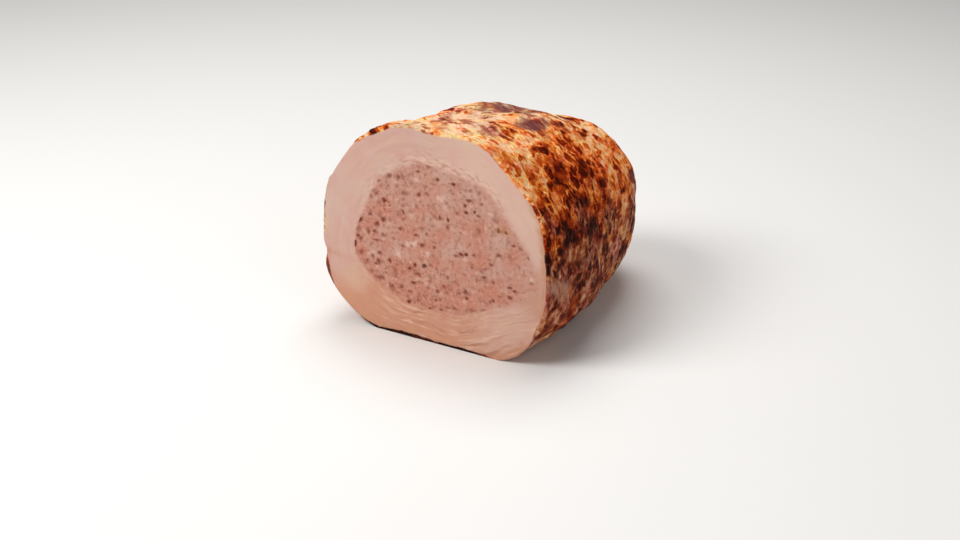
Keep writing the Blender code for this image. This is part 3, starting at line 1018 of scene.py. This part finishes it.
settle = np.clip(inside_edge / LEVEL_EDGE, 0, 1)
face_relief = CRUMB_HEIGHT * (mottle(face_points, CRUMB_SIZE, CRUMB_SEED) - 0.5)
face_relief += SWELL_HEIGHT * (mottle(face_points, SWELL_SIZE, SWELL_SEED) - 0.5)
face_relief -= SPECK_DEPTH * np.maximum(dark_specks, red_specks)
face_points[..., 1] = -face_relief * settle

# The wall goes on from the face's border, in rings that get smaller, to a fan at the end.
face_ids = np.arange(FACE_GRID ** 2).reshape(FACE_GRID, FACE_GRID)
corners = [face_ids[:-1, :-1], face_ids[:-1, 1:], face_ids[1:, 1:], face_ids[1:, :-1]]
face_quads = np.stack(corners, axis=-1).reshape(-1, 4)
border = np.concatenate([face_ids[0, :-1], face_ids[:-1, -1], face_ids[-1, :0:-1], face_ids[:0:-1, 0]])
border_turn = turn.ravel()[border]
wall_radii = smooth_outline(STUFFING_RADII_MM, border_turn) - WALL_CLEARANCE
wall_shares = even_shares(WALL_ROWS, BED_GIRTH, bed_length)[:, None]
wall_length = bed_length - WALL_CLEARANCE
wall = ring_points(border_turn, wall_shares, wall_length, wall_radii, STUFFING_MIDDLE)
wall_tip = ring_points(0.0, 1.0, wall_length, 0.0, STUFFING_MIDDLE)
wall_ids = face_ids.size + np.arange(WALL_ROWS * len(border)).reshape(WALL_ROWS, -1)
ring_ids = np.vstack([border, wall_ids])
next_ids = np.roll(ring_ids, -1, axis=1)
wall_quads = np.stack([ring_ids[:-1], ring_ids[1:], next_ids[1:], next_ids[:-1]], axis=-1)
tip_id = np.full(len(border), wall_ids.max() + 1)
end_fan = np.stack([ring_ids[-1], tip_id, next_ids[-1]], axis=-1)

stuffing_points = np.vstack([face_points.reshape(-1, 3), wall.reshape(-1, 3), wall_tip]) + TO_PLACE
stuffing_faces = face_quads.tolist() + wall_quads.reshape(-1, 4).tolist() + end_fan.tolist()
stuffing_mesh = shaded_mesh("minced_stuffing", stuffing_points, stuffing_faces)
stuffing = shown(stuffing_mesh)

store(stuffing_mesh, "to_stuffing", -inside_edge, -1.0)
store(stuffing_mesh, "fibre", fibre_place(turn, -inside_edge), 0.0)
store(stuffing_mesh, "pale_specks", pale_specks, 0.0)
store(stuffing_mesh, "pepper_halo", bits(PEPPER_HALOES, 1.4), 0.0)
store(stuffing_mesh, "red_specks", red_specks, 0.0)
store(stuffing_mesh, "dark_specks", dark_specks, 0.0)
store(stuffing_mesh, "pepper", bits(PEPPER_BITS, 0.7), 0.0)

# Each kind of bit: its name, colour and strength, in the order that they cover each other.
SPECKS = (
    ("pale_specks", tint(226, 190, 172), 0.60),
    ("pepper_halo", tint(184, 124, 82), 0.55),
    ("red_specks", tint(112, 30, 12), 0.92),
    ("dark_specks", tint(70, 12, 2), 0.80),
    ("pepper", tint(128, 72, 24), 0.85),
)


def stuffing_material():
    """The cut's own surface, with the bits laid over it."""
    material = bpy.data.materials.new("minced_stuffing")
    material.use_nodes = True
    tree = material.node_tree
    shader = tree.nodes["Principled BSDF"]
    cut = use_group(tree, cut_surface, Relief=1.0)
    colour = cut["Colour"]
    for name, speck, strength in SPECKS:
        colour = mix(times(stored(tree, name), strength), colour, speck)
    tree.links.new(colour, shader.inputs["Base Color"])
    shader.inputs["Roughness"].default_value = 0.5
    shader.inputs["Specular IOR Level"].default_value = 0.03
    bumped = node(tree, "Bump", {"Height": cut["Height"], "Distance": 0.0006, "Strength": 0.6})
    tree.links.new(bumped.outputs["Normal"], shader.inputs["Normal"])
    return material


stuffing_mesh.materials.append(stuffing_material())
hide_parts("stuffing")
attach(stuffing, "root")


# --- The studio -------------------------------------------------------------------------------
# A pale matt floor, which isn't part of the roll. Soft square lights stand above it, the main one
# in front at the left. The camera looks down on the cut from the right, as in the photograph.

FLOOR_REACH = 3.0
FLOOR_COLOUR = tint(232, 230, 227)
floor_mesh = bpy.data.meshes.new("floor")
floor_corners = np.array([(-1, -1, 0), (1, -1, 0), (1, 1, 0), (-1, 1, 0)]) * FLOOR_REACH
floor_mesh.from_pydata(floor_corners.tolist(), [], [(0, 1, 2, 3)])
floor_finish = bpy.data.materials.new("floor")
floor_finish.use_nodes = True
floor_shader = floor_finish.node_tree.nodes["Principled BSDF"]
floor_shader.inputs["Base Color"].default_value = FLOOR_COLOUR
floor_shader.inputs["Roughness"].default_value = 0.9
floor_mesh.materials.append(floor_finish)
floor = shown(floor_mesh)

CAMERA_PLACE = (0.3636, -0.5763, 0.354)
CAMERA_DOWN = 24.5
CAMERA_TURN = 30.0
LENS_MM = 52.24
SENSOR_MM = 36.0
camera_data = bpy.data.cameras.new("camera")
camera_data.lens = LENS_MM
camera_data.sensor_width = SENSOR_MM
camera_data.clip_start = 0.01
camera = bpy.data.objects.new("camera", camera_data)
camera.location = np.array(CAMERA_PLACE) + TO_PLACE
camera.rotation_euler = (radians(90 - CAMERA_DOWN), 0, radians(CAMERA_TURN))
bpy.context.scene.collection.objects.link(camera)
bpy.context.scene.camera = camera

# Lights: place, the point each faces, width, and power in watts.
LIGHTS = {
    "key": ((-0.55, -0.75, 0.95), (0.0, 0.0, 0.05), 0.6, 12.0),
    "top": ((-0.15, 0.25, 1.10), (0.0, 0.02, 0.05), 0.7, 8.0),
    "fill": ((0.90, -0.50, 0.60), (0.0, 0.0, 0.05), 0.9, 2.2),
}
SKY_STRENGTH = 0.15

for name, (light_place, aim, width, power) in LIGHTS.items():
    lamp = bpy.data.lights.new(name, "AREA")
    lamp.size = width
    lamp.energy = power
    light = bpy.data.objects.new(name, lamp)
    light.location = light_place
    facing = np.array(aim) - np.array(light_place)
    tilt = float(np.arctan2(np.hypot(facing[0], facing[1]), -facing[2]))
    heading = float(np.arctan2(-facing[0], facing[1]))
    light.rotation_euler = (tilt, 0, heading)
    bpy.context.scene.collection.objects.link(light)

sky = bpy.data.worlds.new("studio")
sky.use_nodes = True
sky.node_tree.nodes["Background"].inputs["Color"].default_value = (1.0, 1.0, 1.0, 1.0)
sky.node_tree.nodes["Background"].inputs["Strength"].default_value = SKY_STRENGTH
bpy.context.scene.world = sky
bpy.context.scene.view_settings.view_transform = "Standard"
